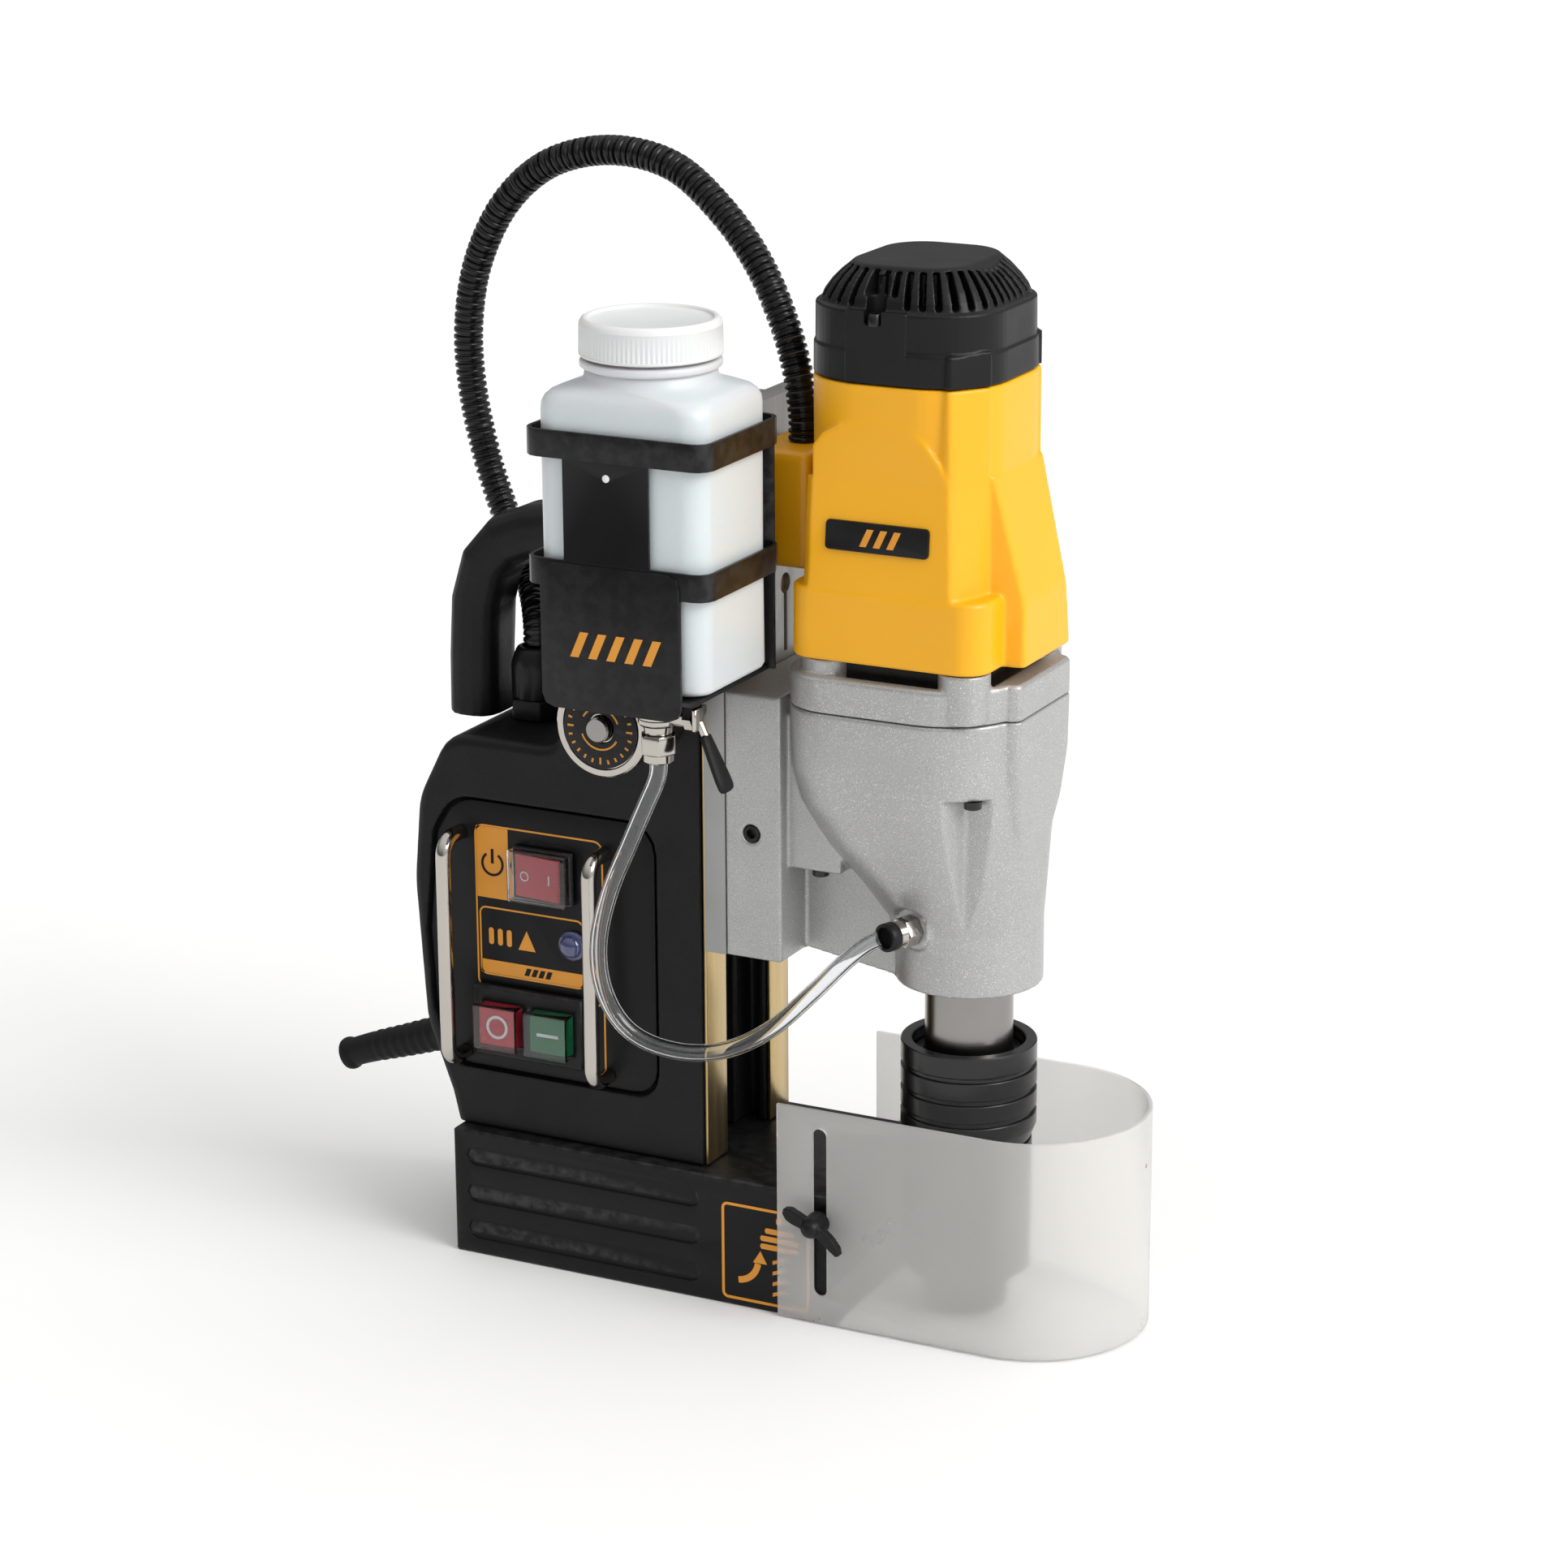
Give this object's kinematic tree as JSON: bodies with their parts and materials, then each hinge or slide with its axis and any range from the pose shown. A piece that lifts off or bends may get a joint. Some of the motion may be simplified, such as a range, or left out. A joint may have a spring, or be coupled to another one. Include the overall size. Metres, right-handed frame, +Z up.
{
  "type": "magnetic drill press",
  "caption": "Magnetic base with a cast column, switch panel, coolant bottle and chip guard; a geared drill motor slides up and down on it.",
  "frame": {"origin": "centre of the magnet's underside, which is the face that holds on to the work", "axes": "+X from the column towards the spindle, +Y away from the side with the switches, +Z up, away from the work"},
  "size_m": [0.3522, 0.1535, 0.436],
  "materials": {
    "cast_black": "textured black powder coat on a casting",
    "magnet_black": "satin black paint on machined steel",
    "bracket_black": "semi-matt black paint on sheet steel",
    "arbor_black": "blackened steel",
    "panel_black": "matt black paint with a printed sheet",
    "black_plastic": "matt moulded plastic",
    "black_rubber": "soft black rubber",
    "conduit_black": "ribbed black plastic conduit",
    "yellow_plastic": "moulded yellow plastic",
    "silver_cast": "silver metallic paint on a casting",
    "slide_grey": "ground steel with grey paint on its face",
    "steel": "machined steel",
    "chrome": "nickel plate",
    "bronze": "machined bronze",
    "copper": "enamelled copper winding",
    "resin": "potting resin",
    "bottle_white": "translucent white plastic",
    "cap_white": "white moulded plastic",
    "clear_plastic": "clear plastic",
    "frosted_sheet": "frosted clear sheet",
    "red_plastic": "red moulded plastic",
    "green_plastic": "green moulded plastic",
    "lamp_lens": "dark smooth lens",
    "circuit_green": "circuit board with parts"
  },
  "bodies": {
    "frame": {"magnet_body": "magnet_black", "magnet_coil": "copper", "coil_potting": "resin", "frame_bolt_front": "steel", "frame_bolt_rear": "steel", "column_casting": "cast_black", "carry_handle": "black_plastic", "way_strip_near": "bronze", "way_strip_far": "bronze", "control_panel": "panel_black", "guard_bar_rear": "chrome", "guard_bar_front": "chrome", "overload_lamp": "lamp_lens", "rocker_bezel": "black_plastic", "rocker_cover": "clear_plastic", "button_unit": "black_plastic", "circuit_board": "circuit_green", "cord_boot": "black_rubber", "gland_base": "black_plastic", "gland_nut": "black_plastic", "power_conduit": "conduit_black", "bottle_bracket": "bracket_black", "coolant_bottle": "bottle_white", "tap_body": "chrome", "tap_nut": "chrome", "coolant_tube": "clear_plastic", "shaft_bush_near": "bronze", "shaft_bush_far": "bronze"},
    "carriage": {"slide_bar": "slide_grey", "feed_rack": "steel", "gearbox_casting": "silver_cast", "gearbox_cover": "silver_cast", "spindle_bearing": "steel", "block_plug": "black_plastic", "motor_shell": "yellow_plastic", "motor_cap": "black_plastic", "stator": "steel", "connector_block": "yellow_plastic", "coolant_fitting": "chrome", "fitting_collet": "black_plastic"},
    "feed_shaft": {"feed_pinion": "steel", "quick_release_hub": "chrome", "hub_dial": "black_plastic", "shaft_end_cap": "chrome"},
    "release": {"release_pin": "steel"},
    "spindle": {"spindle": "steel", "tool_arbor": "arbor_black"},
    "collar": {"locking_collar": "arbor_black"},
    "lay_shaft": {"lay_gear": "steel"},
    "rotor": {"armature": "steel", "cooling_fan": "black_plastic"},
    "rocker": {"power_rocker": "red_plastic"},
    "stop": {"stop_button": "red_plastic"},
    "start": {"start_button": "green_plastic"},
    "tap": {"tap_lever": "chrome", "lever_sleeve": "black_rubber"},
    "cap": {"bottle_cap": "cap_white"},
    "guard": {"chip_guard": "frosted_sheet"},
    "wing_near": {"wing_screw_near": "black_plastic"},
    "wing_far": {"wing_screw_far": "black_plastic"}
  },
  "joints": [
    {"name": "feed_slide", "type": "slide", "parent": "frame", "child": "carriage", "axis": [0, 0, 1], "range_m": [0, 0.085], "deforming": ["power_conduit", "coolant_tube"]},
    {"name": "feed_turn", "type": "hinge", "parent": "frame", "child": "feed_shaft", "pos_m": [0.001, 0, 0.233], "axis": [0, 1, 0], "range_deg": [-408, 1]},
    {"name": "release_push", "type": "slide", "parent": "feed_shaft", "child": "release", "axis": [0, 1, 0], "range_m": [0, 0.003], "stiffness_N_per_m": 400, "springref_m": -0.001},
    {"name": "spindle_spin", "type": "hinge", "parent": "carriage", "child": "spindle", "pos_m": [0.1193, 0, 0.11], "axis": [0, 0, 1], "continuous": true},
    {"name": "collar_lift", "type": "slide", "parent": "spindle", "child": "collar", "axis": [0, 0, 1], "range_m": [0, 0.006], "stiffness_N_per_m": 600, "springref_m": -0.003},
    {"name": "lay_spin", "type": "hinge", "parent": "carriage", "child": "lay_shaft", "pos_m": [0.10985, 0.01987, 0.215], "axis": [0, 0, 1], "continuous": true},
    {"name": "rotor_spin", "type": "hinge", "parent": "carriage", "child": "rotor", "pos_m": [0.1004, 0, 0.3], "axis": [0, 0, 1], "continuous": true},
    {"name": "rocker_tilt", "type": "hinge", "parent": "frame", "child": "rocker", "pos_m": [-0.044, -0.033, 0.1597], "axis": [0, 0, 1], "range_deg": [0, 12]},
    {"name": "stop_push", "type": "slide", "parent": "frame", "child": "stop", "axis": [0, 1, 0], "range_m": [0, 0.003], "stiffness_N_per_m": 400, "springref_m": -0.001},
    {"name": "start_push", "type": "slide", "parent": "frame", "child": "start", "axis": [0, 1, 0], "range_m": [0, 0.003], "stiffness_N_per_m": 400, "springref_m": -0.001},
    {"name": "tap_turn", "type": "hinge", "parent": "frame", "child": "tap", "pos_m": [0.047, -0.0775, 0.245], "axis": [1, 0, 0], "range_deg": [-90, 0]},
    {"name": "cap_unscrew", "type": "hinge", "parent": "frame", "child": "cap", "pos_m": [0.0229, -0.06625, 0.38], "axis": [0, 0, 1], "range_deg": [0, 540]},
    {"name": "guard_lift", "type": "slide", "parent": "frame", "child": "guard", "axis": [0, 0, 1], "range_m": [0, 0.027]},
    {"name": "wing_near_turn", "type": "hinge", "parent": "frame", "child": "wing_near", "pos_m": [0.078, -0.0447, 0.0424], "axis": [0, 1, 0], "range_deg": [0, 180]},
    {"name": "wing_far_turn", "type": "hinge", "parent": "frame", "child": "wing_far", "pos_m": [0.078, 0.0447, 0.0424], "axis": [0, 1, 0], "range_deg": [0, 180]}
  ],
  "couplings": [
    {"joint": "feed_turn", "follows": "feed_slide", "rad_per_m": -83.333},
    {"joint": "lay_spin", "follows": "spindle_spin", "ratio": -3},
    {"joint": "rotor_spin", "follows": "spindle_spin", "ratio": 13.5}
  ]
}
